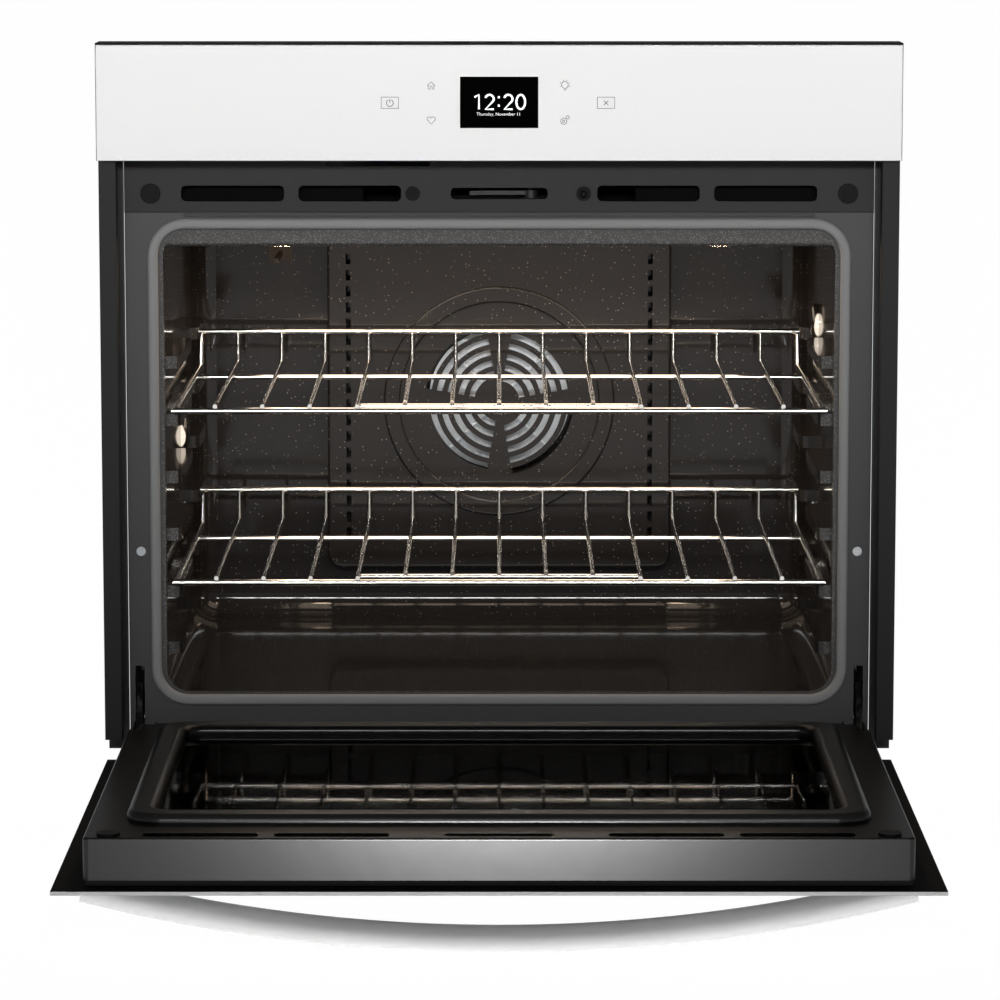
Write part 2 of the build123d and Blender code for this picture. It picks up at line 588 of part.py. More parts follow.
with BuildPart() as hinge_arms:
    for side in (-1, 1):
        face = Plane(origin=(side * HINGE_X - 2.5, 0, HINGE_Z), x_dir=(0, 1, 0), z_dir=(1, 0, 0))
        with BuildSketch(face) as arm:
            with BuildLine():
                Polyline((-31, 4), (-19, -7), (3, 12), (30, 15), (30, 21), (50, 21), (50, 14), (70, 14),
                         (70, 48), (4, 48), (-31, 4))
            make_face()
            with Locations((HINGE_Y, 0)):
                Circle(8)
                Circle(PIN_R + RUN, mode=Mode.SUBTRACT)
        extrude(arm.sketch, amount=5)
hinge_arms.part.label = "hinge_arms"

# Mounting rails that screw to the cabinet, and the trims that cover them
RAIL_HOLE_X = 368.0
RAIL_HOLES = (110.0, 540.0)
RAIL_HOLE_R = 2.6
RAIL_LOW = HINGE_Z - 16.0

with BuildPart() as mounting_rail_right:
    plate(FRAME_HALF + 0.4, 376.5, RAIL_LOW, FASCIA_BOTTOM - 0.5, -SHEET, 0)
    block(FRAME_HALF + 0.4, FRAME_HALF + 1.6, -10, -1, HINGE_Z, FASCIA_BOTTOM - 0.5)
    for z in RAIL_HOLES:
        rod((RAIL_HOLE_X, 2, z), (RAIL_HOLE_X, -3, z), RAIL_HOLE_R, Mode.SUBTRACT)
mounting_rail_right.part.label = "mounting_rail_right"

with BuildPart() as mounting_rail_left:
    add(mounting_rail_right.part.mirror(Plane.YZ))
mounting_rail_left.part.label = "mounting_rail_left"

with BuildPart() as side_trim_right:
    block(360, 376.8, -42, -40.8, HINGE_Z, FASCIA_BOTTOM - 0.5)
    block(375.6, 376.8, -42, -SHEET - 0.05, HINGE_Z, FASCIA_BOTTOM - 0.5)
    block(360, 361.2, -42, -30, HINGE_Z, FASCIA_BOTTOM - 0.5)
    corner = side_trim_right.edges().filter_by(Axis.Z).filter_by(lambda e: e.center().Y < -41.9)
    fillet(corner, 1.1)
side_trim_right.part.label = "side_trim_right"

with BuildPart() as side_trim_left:
    add(side_trim_right.part.mirror(Plane.YZ))
side_trim_left.part.label = "side_trim_left"

# Bottom trim: a slotted channel under the door
with BuildPart() as bottom_trim:
    block(-376.5, 376.5, -45, -FRAME_THICK, -BASE_OVERHANG, 8)
    block(-375.3, 375.3, -43.8, -2.7, -BASE_OVERHANG - 1, 6.8, Mode.SUBTRACT)
    with BuildSketch(front_plane(-43)) as openings:
        with Locations((0, -8)):
            with GridLocations(125, 1, 5, 1):
                SlotOverall(105, 7)
    extrude(openings.sketch, amount=4, mode=Mode.SUBTRACT)
bottom_trim.part.label = "bottom_trim"

# Door, built lying open on its hinge axis
BEAD_HALF = CAV_HALF + 1.0
BEAD_LOW = 48.0
BEAD_HIGH = 479.0
BEAD_TALL = 9.0
WINDOW_HALF = BEAD_HALF - 26.0
WINDOW_LOW = 74.0
WINDOW_HIGH = 453.0
VENT_V = VENT_Z - HINGE_Z
GLASS_OUT = GLASS_IN + GLASS_THICK

with BuildPart() as door_glass:
    door_plate(WIDTH / 2, GLASS_LOW, GLASS_HIGH, GLASS_IN, GLASS_OUT)
    chamfer(door_glass.edges(), 0.6)
door_glass.part.label = "door_glass"

with BuildPart() as door_frame:
    door_plate(350, 17, 531, LINER_OUT + 0.1, GLASS_IN)
    door_plate(330, 37, 511, LINER_OUT, GLASS_IN + 1, mode=Mode.SUBTRACT)
door_frame.part.label = "door_frame"

# Liner: a pressed pan with a raised bead round the window, air slots and hinge notches
with BuildPart() as door_liner:
    door_plate(LINER_HALF, LINER_LOW, LINER_HIGH, LINER_IN, LINER_OUT)
    fillet(door_liner.edges().filter_by(Axis.Z), 5)
    fillet(door_liner.faces().sort_by(Axis.Z)[-1].edges(), 2)
    door_plate(LINER_HALF - 1, LINER_LOW + 1, LINER_HIGH - 1, LINER_IN + 1, LINER_OUT + 1, 4, Mode.SUBTRACT)
    door_plate(BEAD_HALF, BEAD_LOW, BEAD_HIGH, LINER_IN - BEAD_TALL, LINER_IN + 1, 30)
    door_plate(WINDOW_HALF, WINDOW_LOW, WINDOW_HIGH, LINER_IN - 20, LINER_IN + 2, 14, Mode.SUBTRACT)
    fillet(door_liner.faces().sort_by(Axis.Z)[-1].edges(), 7)
    with BuildSketch(DOOR.offset(LINER_IN + 1)) as groove:
        with Locations((0, (BEAD_LOW + BEAD_HIGH) / 2)):
            RectangleRounded(2 * BEAD_HALF - 12, BEAD_HIGH - BEAD_LOW - 12, 24)
            RectangleRounded(2 * WINDOW_HALF + 12, WINDOW_HIGH - WINDOW_LOW + 12, 20, mode=Mode.SUBTRACT)
    extrude(groove.sketch, amount=-6, mode=Mode.SUBTRACT)
    with BuildSketch(DOOR.offset(LINER_IN - 1)) as air_slots:
        for side in (-1, 1):
            for near, far in VENTS:
                with Locations((side * (near + far) / 2, VENT_V)):
                    RectangleRounded(far - near, VENT_H, 5)
        with Locations((0, VENT_V)):
            RectangleRounded(2 * LOCK_HALF, 11, 4)
    extrude(air_slots.sketch, amount=4, mode=Mode.SUBTRACT)
    for side in (-1, 1):
        x0, x1 = sorted((side * 340.5, side * (LINER_HALF + 1)))
        door_block(x0, x1, LINER_LOW - 1, 50, LINER_IN - 1, LINER_IN + 4, Mode.SUBTRACT)
        x0, x1 = sorted((side * 328, side * (LINER_HALF - 1)))
        door_block(x0, x1, LINER_LOW - 1, LINER_LOW + 7, LINER_IN - 1, LINER_OUT + 1, Mode.SUBTRACT)
door_liner.part.label = "door_liner"

# Window pack: two panes, the spacer between them and the retainer behind
PANE_HALF = WINDOW_HALF + 11
PANE_LOW = WINDOW_LOW - 8
PANE_HIGH = WINDOW_HIGH + 8

with BuildPart() as door_inner_pane:
    door_plate(PANE_HALF, PANE_LOW, PANE_HIGH, LINER_IN + 1.1, LINER_IN + 5.1, 10)
door_inner_pane.part.label = "door_inner_pane"

with BuildPart() as window_spacer:
    door_plate(PANE_HALF, PANE_LOW, PANE_HIGH, LINER_IN + 5.2, 3, 10)
    door_plate(WINDOW_HALF - 2, WINDOW_LOW + 5, WINDOW_HIGH - 5, -20, 10, 8, Mode.SUBTRACT)
window_spacer.part.label = "window_spacer"

with BuildPart() as door_middle_pane:
    door_plate(PANE_HALF, PANE_LOW, PANE_HIGH, 3.1, 7.1, 10)
door_middle_pane.part.label = "door_middle_pane"

with BuildPart() as window_retainer:
    door_plate(PANE_HALF, PANE_LOW, PANE_HIGH, 7.2, GLASS_IN - 0.1, 10)
    door_plate(WINDOW_HALF - 2, WINDOW_LOW + 5, WINDOW_HIGH - 5, 0, 40, 8, Mode.SUBTRACT)
window_retainer.part.label = "window_retainer"

# Bowed handle with flat feet on two seat pads
HANDLE_V = 501.0
HANDLE_HALF = 355.0
HANDLE_END = 34.0
HANDLE_BOW = 78.8
HANDLE_SEAT = GLASS_OUT + 1.6


def door_point(x, v, w):
    """A point of the open door in the shared frame."""
    return (x, HINGE_Y - v, HINGE_Z - w)


with BuildPart() as handle_bar:
    with BuildLine() as bow:
        ThreePointArc(door_point(-HANDLE_HALF, HANDLE_V, HANDLE_END), door_point(0, HANDLE_V, HANDLE_BOW),
                      door_point(HANDLE_HALF, HANDLE_V, HANDLE_END))
    with BuildSketch(Plane(origin=bow.line @ 0, x_dir=(0, 1, 0), z_dir=bow.line % 0)) as section:
        Ellipse(13, 12.2)
    sweep(section.sketch, path=bow.line)
    door_block(-HANDLE_HALF - 20, HANDLE_HALF + 20, HANDLE_V - 20, HANDLE_V + 20, 0, HANDLE_SEAT, Mode.SUBTRACT)
handle_bar.part.label = "handle_bar"

with BuildPart() as handle_mounts:
    for side in (-1, 1):
        x0, x1 = sorted((side * (HANDLE_HALF - 33), side * (HANDLE_HALF - 7)))
        door_block(x0, x1, HANDLE_V - 8, HANDLE_V + 8, GLASS_OUT, HANDLE_SEAT)
handle_mounts.part.label = "handle_mounts"

# Hinge channels in the door with their pivot pins and spring cartridges
CHANNEL_IN = 329.5
CHANNEL_OUT = 350.5

with BuildPart() as hinge_channels:
    for side in (-1, 1):
        x0, x1 = sorted((side * CHANNEL_IN, side * CHANNEL_OUT))
        door_block(x0, x1, -9, 250, -13, 13)
        door_block(x0 + 1.5, x1 - 1.5, -10, 251, -14, 11.5, Mode.SUBTRACT)
        rod((x0 - 1, HINGE_Y, HINGE_Z), (x1 + 1, HINGE_Y, HINGE_Z), PIN_R, Mode.SUBTRACT)
hinge_channels.part.label = "hinge_channels"

with BuildPart() as hinge_pins:
    for side in (-1, 1):
        rod((side * (CHANNEL_IN - 1), HINGE_Y, HINGE_Z), (side * (CHANNEL_OUT + 1), HINGE_Y, HINGE_Z), PIN_R)
hinge_pins.part.label = "hinge_pins"

with BuildPart() as hinge_cartridges:
    for side in (-1, 1):
        x = side * (CHANNEL_IN + CHANNEL_OUT) / 2
        rod(door_point(x, 90, 4), door_point(x, 230, 4), 7)
        rod(door_point(x, 70, 4), door_point(x, 95, 4), 3)
hinge_cartridges.part.label = "hinge_cartridges"

with BuildPart() as door_stops:
    for x in (-STOP_X, STOP_X):
        rod(door_point(x, VENT_V, LINER_IN), door_point(x, VENT_V, LINER_IN - 2.4), 10)
door_stops.part.label = "door_stops"

NODES = [
    control_glass, display_window, control_housing, control_board, vent_trim, front_frame, door_gasket,
    oven_cavity, fan_cover, convection_fan, convection_motor, convection_element, broil_element,
    bake_element, bake_pan, lamp_lenses, lamp_holders, temp_probe, rack_lower, rack_upper,
    insulation_wrap, insulation_floor, insulation_back, base_pan, side_panel_left, side_panel_right,
    back_panel, top_panel, air_deck, junction_cover, blower_housing, blower_wheel, blower_motor,
    lock_plate, lock_hook, switch_body, switch_plunger, frame_stops, frame_screws, hinge_receivers,
    hinge_arms, mounting_rail_left, mounting_rail_right, side_trim_left, side_trim_right, bottom_trim,
    door_glass, door_frame, door_liner, door_inner_pane, window_spacer, door_middle_pane,
    window_retainer, handle_bar, handle_mounts, hinge_channels, hinge_pins, hinge_cartridges, door_stops,
]

os.makedirs("parts", exist_ok=True)
for node in NODES:
    export_step(node.part, "parts/" + node.part.label + ".step")
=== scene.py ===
# %% [markdown]
# # A built-in wall oven
# The CAD model comes in as a fixed frame: each rigid piece keeps its place. This lesson gives the
# pieces their finishes, adds the printed marks on the control glass, and lights the oven in a
# plain white studio.

from math import cos, pi, radians, sin

import bpy
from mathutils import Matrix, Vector


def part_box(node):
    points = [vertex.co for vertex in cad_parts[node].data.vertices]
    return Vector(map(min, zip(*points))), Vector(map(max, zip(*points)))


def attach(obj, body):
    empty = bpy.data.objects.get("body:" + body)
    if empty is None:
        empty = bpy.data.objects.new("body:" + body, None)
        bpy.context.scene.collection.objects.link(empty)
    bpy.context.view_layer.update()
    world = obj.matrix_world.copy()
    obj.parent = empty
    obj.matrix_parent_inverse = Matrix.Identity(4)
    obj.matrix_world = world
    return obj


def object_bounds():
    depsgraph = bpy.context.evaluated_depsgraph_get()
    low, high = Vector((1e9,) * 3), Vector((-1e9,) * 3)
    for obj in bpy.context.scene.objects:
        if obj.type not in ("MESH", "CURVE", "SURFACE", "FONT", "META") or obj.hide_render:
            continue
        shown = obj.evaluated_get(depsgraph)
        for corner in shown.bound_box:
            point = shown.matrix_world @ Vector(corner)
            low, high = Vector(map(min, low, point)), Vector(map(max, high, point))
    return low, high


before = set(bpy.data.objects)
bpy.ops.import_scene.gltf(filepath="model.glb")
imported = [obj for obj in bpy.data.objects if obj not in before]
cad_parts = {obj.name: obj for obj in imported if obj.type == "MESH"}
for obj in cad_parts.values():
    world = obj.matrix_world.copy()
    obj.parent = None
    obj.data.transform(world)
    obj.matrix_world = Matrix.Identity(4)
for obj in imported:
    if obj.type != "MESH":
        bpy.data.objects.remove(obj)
cad_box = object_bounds()

# %% [markdown]
# ## Small helpers
# Colours are written as sRGB hex, the way a paint chart or a picture editor shows them, and
# shaders want linear light, so one function converts them. One more function adds a node with its
# settings and links. A third starts a material from its common optical values, and gives the
# coordinates that its patterns lie in: those of the CAD model in metres, so that each pattern
# keeps its real size.

# %% Helpers for materials
MM = 0.001
A, B, MIXED = 6, 7, 2  # the colour sockets of a mix node, in and out


def srgb(code):
    """Linear colour of an sRGB hex value."""
    channels = [int(code[i:i + 2], 16) / 255 for i in (1, 3, 5)]
    linear = [c / 12.92 if c <= 0.04045 else ((c + 0.055) / 1.055) ** 2.4 for c in channels]
    return (*linear, 1.0)


def add(tree, kind, inputs=None, **settings):
    """A node with its settings; an input is a value, or a socket to link from."""
    node = tree.nodes.new(kind)
    for name, value in settings.items():
        setattr(node, name, value)
    for key, value in (inputs or {}).items():
        if isinstance(value, bpy.types.NodeSocket):
            tree.links.new(value, node.inputs[key])
        else:
            node.inputs[key].default_value = value
    return node


def start(name, colour, roughness, metallic=0.0, **inputs):
    """A material with a plain surface: itself, its nodes, its shader and its coordinates."""
    material = bpy.data.materials.new(name)
    material.use_nodes = True
    tree = material.node_tree
    shader = tree.nodes["Principled BSDF"]
    shader.inputs["Base Color"].default_value = srgb(colour)
    shader.inputs["Roughness"].default_value = roughness
    shader.inputs["Metallic"].default_value = metallic
    for key, value in inputs.items():
        shader.inputs[key.replace("_", " ")].default_value = value
    return material, tree, shader, add(tree, "ShaderNodeTexCoord").outputs


def paint(material, *names):
    """Gives CAD pieces one finish."""
    for name in names:
        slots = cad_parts[name].data.materials
        slots.clear()
        slots.append(material)
    print(material.name, "on", ", ".join(names))


print("grey #808080 is", round(srgb("#808080")[0], 3), "in linear light")

# %% [markdown]
# ## White back-painted glass
# The control fascia is a sheet of tempered glass with white ceramic frit fired onto its back. The
# eye sees an even white under a clear, mirror-smooth front. Clear glass over a white sheet would
# look the same and render slowly, so the shader is a white base with a glass coat. The frit's own
# faint mottle, about 2 mm across, keeps the white from looking like paper. The cut edges of the
# fascia show no frit and look nearly black, so the white goes only on what faces the front.

# %% White glass for the fascia
FRIT_LUMP = 2 * MM
FASCIA_FRONT = -0.5  # a normal with a lower y than this faces the front


def white_frit(tree, place):
    """The faintly mottled white of the frit."""
    mottle = add(tree, "ShaderNodeTexNoise", {"Vector": place["Object"], "Scale": 1 / FRIT_LUMP})
    white = add(tree, "ShaderNodeMix", {"Factor": mottle.outputs["Fac"], A: srgb("#EAEAEA"),
                                        B: srgb("#EEEEEE")}, data_type="RGBA")
    return white.outputs[MIXED]


fascia_glass, tree, shader, place = start("white_frit_glass", "#ECECEC", roughness=0.28, IOR=1.5,
                                          Coat_Weight=0.6, Coat_Roughness=0.03)
facing = add(tree, "ShaderNodeSeparateXYZ", {"Vector": place["Normal"]})
front = add(tree, "ShaderNodeMath", {0: facing.outputs["Y"], 1: FASCIA_FRONT},
            operation="LESS_THAN")
face = add(tree, "ShaderNodeMix", {"Factor": front.outputs["Value"], A: srgb("#1A1A1A"),
                                   B: white_frit(tree, place)}, data_type="RGBA")
tree.links.new(face.outputs[MIXED], shader.inputs["Base Color"])
paint(fascia_glass, "control_glass")

# %% [markdown]
# ## The door's outer glass
# The door front is the same white glass with a dark window in its middle, a little smaller than
# the inner pane behind it. Its inner side is printed matt black, so that nothing inside the door
# shows, and it barely mirrors the room even at a low angle. The two sides need two materials,
# because their gloss differs. At rest the door lies open and its inner side looks up, which tells
# the sides apart.

# %% White glass with a window for the door
WINDOW_BORDER = 12 * MM  # from the edge of the inner pane to the dark print
door_glass, tree, shader, place = start("printed_door_glass", "#ECECEC", roughness=0.25, IOR=1.5,
                                        Coat_Weight=0.6, Coat_Roughness=0.03)
low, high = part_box("door_inner_pane")
middle = (low + high) / 2
half = (high - low) / 2
spot = add(tree, "ShaderNodeSeparateXYZ", {"Vector": place["Object"]})
across, along = [add(tree, "ShaderNodeMath", {0: spot.outputs[axis], 1: middle[axis],
                                              2: half[axis] - WINDOW_BORDER}, operation="COMPARE")
                 for axis in (0, 1)]  # x and y
window = add(tree, "ShaderNodeMath", {0: across.outputs["Value"], 1: along.outputs["Value"]},
             operation="MULTIPLY")
face = add(tree, "ShaderNodeMix", {"Factor": window.outputs["Value"], A: white_frit(tree, place),
                                   B: srgb("#050505")}, data_type="RGBA")
tree.links.new(face.outputs[MIXED], shader.inputs["Base Color"])
paint(door_glass, "door_glass")

# %% Black ink inside the door
FIRED_LUMP = 4 * MM
LOOKS_UP = 0.5  # a normal with a higher z than this looks up


def paint_faces(material, name, test):
    """Gives a second finish to the faces of one CAD piece that pass a test."""
    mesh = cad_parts[name].data
    mesh.materials.append(material)
    chosen = [face for face in mesh.polygons if test(face)]
    for face in chosen:
        face.material_index = len(mesh.materials) - 1
    print(material.name, "on", len(chosen), "faces of", name)


black_ink, tree, shader, place = start("matt_black_frit", "#060606", roughness=0.7,
                                       Specular_IOR_Level=0.08)
fired = add(tree, "ShaderNodeTexNoise", {"Vector": place["Object"], "Scale": 1 / FIRED_LUMP,
                                         "Detail": 3.0})
black = add(tree, "ShaderNodeMix", {"Factor": fired.outputs["Fac"], A: srgb("#040404"),
                                    B: srgb("#0A0A0A")}, data_type="RGBA")
tree.links.new(black.outputs[MIXED], shader.inputs["Base Color"])
paint_faces(black_ink, "door_glass", lambda face: face.normal.z > LOOKS_UP)

# %% [markdown]
# ## Black display glass
# The display is a small black pane flush with the fascia. It is bonded to the panel behind it and
# has a film against glare, so its reflection is much weaker than plain glass has: the specular
# level sets that. Fine wipe marks, about 18 mm across, vary its gloss a little.

# %% Display
WIPE_MARK = 18 * MM
display_glass, tree, shader, place = start("black_display_glass", "#010101", roughness=0.04,
                                           Specular_IOR_Level=0.01)
smear = add(tree, "ShaderNodeTexNoise", {"Vector": place["Object"], "Scale": 1 / WIPE_MARK,
                                         "Detail": 3.0})
gloss = add(tree, "ShaderNodeMapRange", {"Value": smear.outputs["Fac"], "To Min": 0.02,
                                         "To Max": 0.09})
tree.links.new(gloss.outputs["Result"], shader.inputs["Roughness"])
paint(display_glass, "display_window")

# %% [markdown]
# ## Powder coat
# The trims and the front frame are steel with a dark grey powder coat. The rails, the frame
# inside the door, the lock and the motors have a black one, and the handle a white one. The air
# deck, seen through the notch in the vent trim, gets the same black as painted shade, for the
# dark behind the notch. Cured powder keeps a low orange peel, about 1.5 mm from hump to hump,
# which softens its gloss. Real humps would take millions of faces, so a shallow bump from noise
# at that size stands for them. A slower noise, 60 mm across, shifts the shade slightly, as
# handling and heat do.

# %% Powder coat in six shades
PEEL = 1.5 * MM
CLOUD = 60 * MM


def powder_coat(name, colour, other, roughness, ior=1.5):
    """Cured powder paint between two close shades."""
    material, tree, shader, place = start(name, colour, roughness, IOR=ior)
    peel = add(tree, "ShaderNodeTexNoise", {"Vector": place["Object"], "Scale": 1 / PEEL})
    cloud = add(tree, "ShaderNodeTexNoise", {"Vector": place["Object"], "Scale": 1 / CLOUD})
    shade = add(tree, "ShaderNodeMix", {"Factor": cloud.outputs["Fac"], A: srgb(colour),
                                        B: srgb(other)}, data_type="RGBA")
    bump = add(tree, "ShaderNodeBump", {"Strength": 0.06, "Distance": 0.1 * MM,
                                        "Height": peel.outputs["Fac"]})
    tree.links.new(shade.outputs[MIXED], shader.inputs["Base Color"])
    tree.links.new(bump.outputs["Normal"], shader.inputs["Normal"])
    return material


paint(powder_coat("dark_trim_powder_coat", "#141414", "#181818", roughness=0.6, ior=1.3),
      "side_trim_left", "side_trim_right", "bottom_trim")
paint(powder_coat("dark_frame_powder_coat", "#3A3A3A", "#3F3F3F", roughness=0.6, ior=1.4),
      "front_frame")
paint(powder_coat("dark_header_powder_coat", "#171717", "#1B1B1B", roughness=0.6, ior=1.34),
      "vent_trim")
# the air deck's black is painted shade, for the dark seen through the notch in the vent trim
paint(powder_coat("black_powder_coat_and_deck_shade", "#060606", "#0A0A0A", roughness=0.6),
      "mounting_rail_left", "mounting_rail_right", "door_frame", "lock_plate", "lock_hook",
      "air_deck")
paint(powder_coat("white_handle_powder_coat", "#C6C6C6", "#CACACA", roughness=0.22),
      "handle_bar", "handle_mounts")
paint(powder_coat("black_motor_powder_coat", "#151515", "#1C1C1C", roughness=0.5),
      "convection_motor", "blower_motor")

# %% [markdown]
# ## Moulded black plastic
# The fascia's housing, the stops and the door switch are moulded in black glass-filled nylon. The
# mould's spark-eroded texture makes it dull and slightly grainy. It is finer than a pixel, so it
# is drawn here at 1 mm to show: each cell of a Voronoi pattern is one pit.

# %% Moulded plastic
SPARK_PIT = 1 * MM
plastic, tree, shader, place = start("moulded_black_nylon", "#040404", roughness=0.5,
                                     Specular_IOR_Level=0.08)
grain = add(tree, "ShaderNodeTexVoronoi", {"Vector": place["Object"], "Scale": 1 / SPARK_PIT})
bump = add(tree, "ShaderNodeBump", {"Strength": 0.12, "Distance": 0.1 * MM,
                                    "Height": grain.outputs["Distance"]})
sheen = add(tree, "ShaderNodeMapRange", {"Value": grain.outputs["Distance"], "To Min": 0.42,
                                         "To Max": 0.6})
tree.links.new(bump.outputs["Normal"], shader.inputs["Normal"])
tree.links.new(sheen.outputs["Result"], shader.inputs["Roughness"])
paint(plastic, "control_housing", "frame_stops", "switch_body", "switch_plunger", "door_stops")

# %% [markdown]
# ## Porcelain enamel
# The cavity and the fan cover are steel with black porcelain enamel, a glass fired onto the
# metal. It is very dark, very glossy, and full of fine pale specks. A speck sits in some of the
# cells of a Voronoi pattern 4 mm wide: a dot about 1 mm wide, the smallest that shows at this
# distance. The glass also flows a little as it is fired, so a slow, low bump bends its
# reflections. The rolled mouth of the cavity is speckled all over in cells of 1.6 mm and is a
# paler grey than the rest: partly painted highlight, standing in for the shine along its rolled
# edge. The door liner has a satin coat with hardly any specks, which heat has dulled except on
# its front wall.

# %% Enamel
SPECK_CORE, SPECK_EDGE = 0.32, 0.68  # mm from its middle where a speck is full, and where it ends
FLOW = 25 * MM


def enamel(name, colour, speck, roughness, share, ior=1.45, cell=4):
    """Fired glass on steel, with pale specks on a share of its cells, this many mm wide."""
    material, tree, shader, place = start(name, colour, roughness, IOR=ior)
    cells = add(tree, "ShaderNodeTexVoronoi", {"Vector": place["Object"], "Scale": 1 / (cell * MM)})
    pick = add(tree, "ShaderNodeSeparateColor", {"Color": cells.outputs["Color"]})
    chosen = add(tree, "ShaderNodeMath", {0: pick.outputs["Red"], 1: share}, operation="LESS_THAN")
    near = add(tree, "ShaderNodeMapRange", {"Value": cells.outputs["Distance"],
                                            "From Min": SPECK_EDGE / cell,
                                            "From Max": SPECK_CORE / cell})
    speckle = add(tree, "ShaderNodeMath", {0: near.outputs["Result"], 1: chosen.outputs["Value"]},
                  operation="MULTIPLY")
    ground = add(tree, "ShaderNodeMix", {"Factor": speckle.outputs["Value"], A: srgb(colour),
                                         B: srgb(speck)}, data_type="RGBA")
    flow = add(tree, "ShaderNodeTexNoise", {"Vector": place["Object"], "Scale": 1 / FLOW})
    bump = add(tree, "ShaderNodeBump", {"Strength": 0.05, "Distance": 1 * MM,
                                        "Height": flow.outputs["Fac"]})
    tree.links.new(ground.outputs[MIXED], shader.inputs["Base Color"])
    tree.links.new(bump.outputs["Normal"], shader.inputs["Normal"])
    return material


print("specks are", SPECK_CORE + SPECK_EDGE, "mm wide")

# %% Enamel on the cavity and the door liner
MOUTH_DEPTH = 20 * MM
LINER_FRONT = -0.7  # a normal with a lower y than this faces the front

cavity_enamel = enamel("black_cavity_enamel", "#232120", "#85817A", roughness=0.07, share=0.5,
                       ior=1.33)
paint(cavity_enamel, "oven_cavity", "fan_cover")
# the mouth's paler grey is partly painted highlight, for the shine along the rolled edge
mouth_enamel_and_highlight = enamel("grey_mouth_enamel_and_painted_highlight", "#3A3837", "#6C6A68", roughness=0.22, share=0.8,
                      cell=1.6)
paint_faces(mouth_enamel_and_highlight, "oven_cavity", lambda face: face.center.y < MOUTH_DEPTH)
dull_enamel = enamel("dull_liner_enamel", "#0C0C0C", "#161616", roughness=0.35, share=0.2,
                     ior=1.2)
paint(dull_enamel, "door_liner")
satin_enamel = enamel("satin_liner_enamel", "#0A0A0A", "#141414", roughness=0.23, share=0.2,
                      ior=1.33)
paint_faces(satin_enamel, "door_liner", lambda face: face.normal.y < LINER_FRONT)

# %% [markdown]
# ## Woven door seal
# The seal is a braided glass-fibre sleeve, pale grey and dull. Each yarn could be a curve of its
# own, but from here the sleeve looks almost smooth. So two bands of waves that cross at a slant
# give the plaits, about 2 mm wide and low, in the colour and in the bump.

# %% Door seal
PLAIT = 2 * MM
WAVES = 20 / (2 * pi)  # a wave texture's bands to the unit at scale 1
seal, tree, shader, place = start("braided_glass_fibre", "#6E6E6E", roughness=0.85, IOR=1.5)
plaits = []
for turn in (45, -45):
    slanted = add(tree, "ShaderNodeMapping", {"Vector": place["Object"],
                                              "Rotation": (0, radians(turn), 0)})
    plaits.append(add(tree, "ShaderNodeTexWave", {"Vector": slanted.outputs["Vector"],
                                                  "Scale": 1 / PLAIT / WAVES}))
weave = add(tree, "ShaderNodeMath", {0: plaits[0].outputs["Fac"], 1: plaits[1].outputs["Fac"]},
            operation="MAXIMUM")
yarn = add(tree, "ShaderNodeMix", {"Factor": weave.outputs["Value"], A: srgb("#7A7A7A"),
                                   B: srgb("#868686")}, data_type="RGBA")
bump = add(tree, "ShaderNodeBump", {"Strength": 0.15, "Distance": 0.4 * MM,
                                    "Height": weave.outputs["Value"]})
tree.links.new(yarn.outputs[MIXED], shader.inputs["Base Color"])
tree.links.new(bump.outputs["Normal"], shader.inputs["Normal"])
paint(seal, "door_gasket")

# %% [markdown]
# ## Chrome-plated wire
# The racks are steel wire, welded and then plated with bright chrome. A metal's colour is its
# reflection, so the base is pale and the roughness low. Heat leaves a faint straw tint and dulls
# the plating in patches, about 40 mm across, so one noise drives both.

# %% Rack wire
HEAT_PATCH = 40 * MM
chrome, tree, shader, place = start("chrome_plated_wire", "#D8D6D2", roughness=0.12, metallic=1.0)
patch = add(tree, "ShaderNodeTexNoise", {"Vector": place["Object"], "Scale": 1 / HEAT_PATCH})
tint = add(tree, "ShaderNodeMix", {"Factor": patch.outputs["Fac"], A: srgb("#DCDBD9"),
                                   B: srgb("#D2CEC6")}, data_type="RGBA")
dull = add(tree, "ShaderNodeMapRange", {"Value": patch.outputs["Fac"], "To Min": 0.08,
                                        "To Max": 0.24})
tree.links.new(tint.outputs[MIXED], shader.inputs["Base Color"])
tree.links.new(dull.outputs["Result"], shader.inputs["Roughness"])
paint(chrome, "rack_lower", "rack_upper")

# %% [markdown]
# ## Galvanised sheet
# The outer case and the brackets are hot-dip galvanised steel. Zinc sets in flat crystals called
# spangle, about 12 mm across, each with a slightly different grey and gloss. A Voronoi cell has
# one random colour all over, so each crystal is a cell, and two channels of that colour set its
# grey and its gloss.

# %% Zinc-coated steel
SPANGLE = 12 * MM
zinc, tree, shader, place = start("galvanised_steel", "#9EA1A3", roughness=0.38, metallic=1.0)
spangle = add(tree, "ShaderNodeTexVoronoi", {"Vector": place["Object"], "Scale": 1 / SPANGLE})
crystal = add(tree, "ShaderNodeSeparateColor", {"Color": spangle.outputs["Color"]})
grey = add(tree, "ShaderNodeMix", {"Factor": crystal.outputs["Red"], A: srgb("#8F9294"),
                                   B: srgb("#ADB0B2")}, data_type="RGBA")
dull = add(tree, "ShaderNodeMapRange", {"Value": crystal.outputs["Green"], "To Min": 0.3,
                                        "To Max": 0.46})
tree.links.new(grey.outputs[MIXED], shader.inputs["Base Color"])
tree.links.new(dull.outputs["Result"], shader.inputs["Roughness"])
paint(zinc, "base_pan", "side_panel_left", "side_panel_right", "back_panel", "top_panel",
      "junction_cover", "blower_housing", "bake_pan", "hinge_receivers", "lamp_holders",
      "window_spacer", "window_retainer", "frame_screws")

# %% [markdown]
# ## Blackened steel
# The hinge arms, channels, pins and cartridges are phosphated steel: a thin black crystal layer
# on the metal, dull, with brighter rubs where it wears. Where a fine noise is high, the metal
# shows through.

